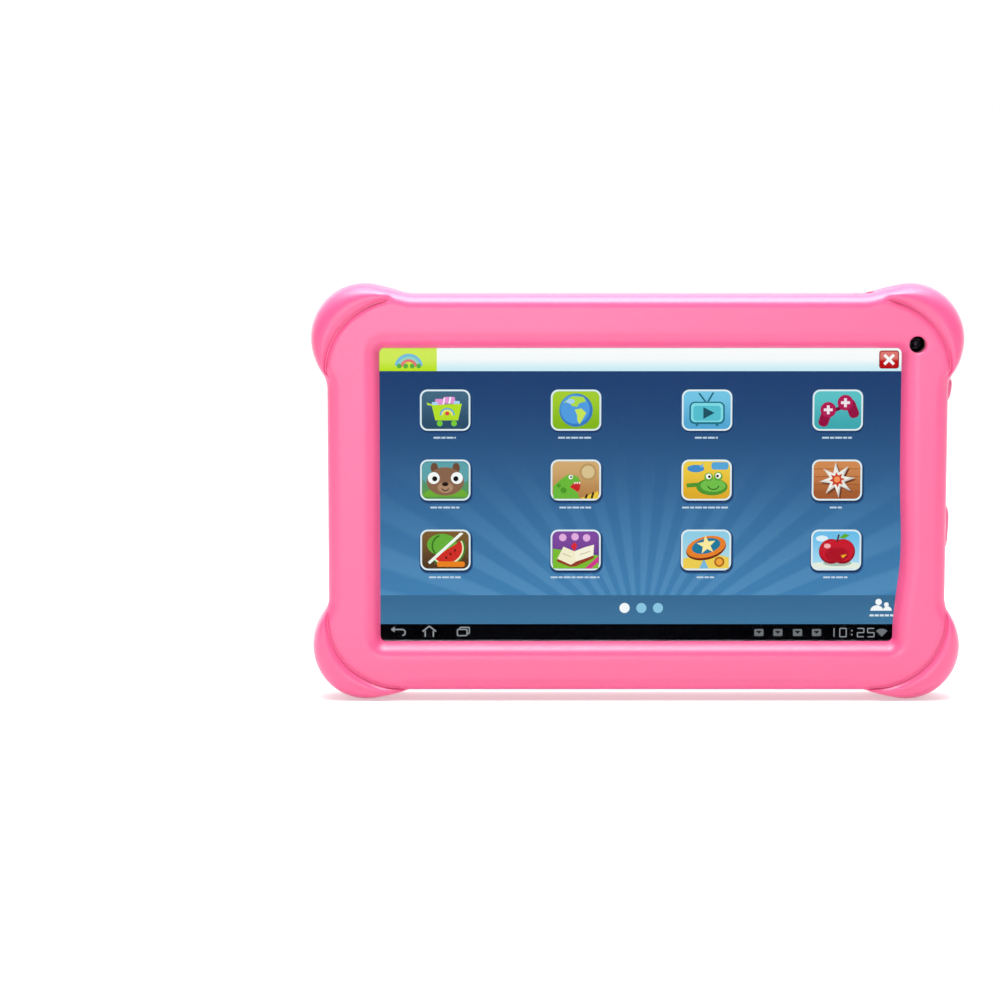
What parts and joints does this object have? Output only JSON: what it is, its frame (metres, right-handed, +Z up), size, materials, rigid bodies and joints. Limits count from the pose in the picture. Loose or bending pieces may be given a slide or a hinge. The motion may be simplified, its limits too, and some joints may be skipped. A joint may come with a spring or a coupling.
{
  "type": "kids toy tablet",
  "caption": "Child's touch-screen tablet standing on edge in a soft one-piece bumper case with swollen corner bumps, side keys, charging socket and headphone socket.",
  "frame": {"origin": "on the surface that the tablet stands on, under the middle of its width and of its thickness", "axes": "+X to the right seen from the front, along the width; +Y from the screen towards the back; +Z up, along the height"},
  "size_m": [0.1904, 0.0184, 0.122],
  "materials": {
    "case_silicone": "soft pink silicone, fine matt texture",
    "cover_glass": "polished clear glass",
    "black_print": "black ink printed on the back of the glass",
    "sensor_film": "clear laminated film",
    "black_adhesive": "thin black foam tape",
    "flex_amber": "amber flexible circuit film",
    "black_plastic": "fine black moulded plastic",
    "shell_plastic": "satin black moulded plastic",
    "pressed_steel": "thin pressed steel",
    "display_cell": "lit display picture",
    "diffuser_film": "milky film",
    "light_guide": "clear acrylic plate",
    "white_film": "bright white film",
    "white_led": "white diodes on a narrow board",
    "black_foam": "closed-cell foam",
    "lens_glass": "coated lens",
    "board_green": "green solder resist",
    "chip_black": "moulded black epoxy",
    "shield_tin": "tinned steel",
    "ferrite_grey": "dark grey ferrite",
    "ceramic_tan": "tan ceramic with tinned ends",
    "connector_ivory": "ivory nylon",
    "switch_body": "pressed cover on a black base",
    "battery_foil": "silver pouch foil",
    "lead_red": "red insulation",
    "lead_black": "black insulation",
    "cone_film": "thin dark film",
    "screw_black": "black oxide steel"
  },
  "bodies": {
    "root": {"antenna_cable": "lead_black", "battery_cell": "battery_foil", "battery_guard": "board_green", "battery_lead_black": "lead_black", "battery_lead_red": "lead_red", "battery_plug": "connector_ivory", "battery_tape": "black_adhesive", "board_screws": "screw_black", "border_print": "black_print", "bumper_case": "case_silicone", "camera_flex": "flex_amber", "camera_gasket": "black_foam", "camera_housing": "black_plastic", "camera_lens": "lens_glass", "capacitors": "ceramic_tan", "cover_glass": "cover_glass", "cover_screws": "screw_black", "crystals": "shield_tin", "diffuser_sheets": "diffuser_film", "flash_chip": "chip_black", "flex_connectors": "connector_ivory", "glass_adhesive": "black_adhesive", "headphone_jack": "black_plastic", "inductors": "ferrite_grey", "lcd_cell": "display_cell", "lcd_flex": "flex_amber", "lcd_metal_frame": "pressed_steel", "led_strip": "white_led", "light_guide": "light_guide", "main_board": "board_green", "memory_chips": "chip_black", "microphone": "shield_tin", "mid_frame": "black_plastic", "power_chip": "chip_black", "power_switch": "switch_body", "processor": "chip_black", "rear_cover": "shell_plastic", "reflector_sheet": "white_film", "sd_socket": "pressed_steel", "speaker_frame": "black_plastic", "speaker_gasket": "black_foam", "speaker_leads": "lead_black", "speaker_magnet": "pressed_steel", "touch_flex": "flex_amber", "touch_sensor": "sensor_film", "usb_shell": "shield_tin", "usb_tongue": "black_plastic", "volume_down_switch": "switch_body", "volume_up_switch": "switch_body", "wifi_antenna": "board_green", "wifi_module": "shield_tin"},
    "power_button": {"power_pad": "case_silicone", "power_key": "shell_plastic"},
    "volume_rocker": {"volume_pad": "case_silicone", "volume_key": "shell_plastic"},
    "power_switch_plunger": {"power_plunger": "black_plastic"},
    "volume_up_switch_plunger": {"volume_up_plunger": "black_plastic"},
    "volume_down_switch_plunger": {"volume_down_plunger": "black_plastic"},
    "speaker_diaphragm": {"speaker_cone": "cone_film"}
  },
  "joints": [
    {"name": "power_press", "type": "slide", "parent": "root", "child": "power_button", "axis": [-1, 0, 0], "range_m": [0, 0.0003], "stiffness_N_per_m": 1600},
    {"name": "power_plunger_slide", "type": "slide", "parent": "root", "child": "power_switch_plunger", "axis": [-1, 0, 0], "range_m": [0, 0.0003]},
    {"name": "volume_rock", "type": "hinge", "parent": "root", "child": "volume_rocker", "pos_m": [0.08575, 0.0031, 0.05], "axis": [0, -1, 0], "range_deg": [-1.8, 1.8], "stiffness_Nm_per_rad": 0.32},
    {"name": "volume_up_slide", "type": "slide", "parent": "root", "child": "volume_up_switch_plunger", "axis": [-1, 0, 0], "range_m": [-0.00016, 0.00016]},
    {"name": "volume_down_slide", "type": "slide", "parent": "root", "child": "volume_down_switch_plunger", "axis": [-1, 0, 0], "range_m": [-0.00016, 0.00016]},
    {"name": "speaker_stroke", "type": "slide", "parent": "root", "child": "speaker_diaphragm", "axis": [0, 1, 0], "range_m": [-0.00025, 0.00025], "stiffness_N_per_m": 800}
  ],
  "couplings": [
    {"joint": "power_plunger_slide", "follows": "power_press", "ratio": 1},
    {"joint": "volume_up_slide", "follows": "volume_rock", "m_per_rad": 0.005},
    {"joint": "volume_down_slide", "follows": "volume_rock", "m_per_rad": -0.005}
  ]
}
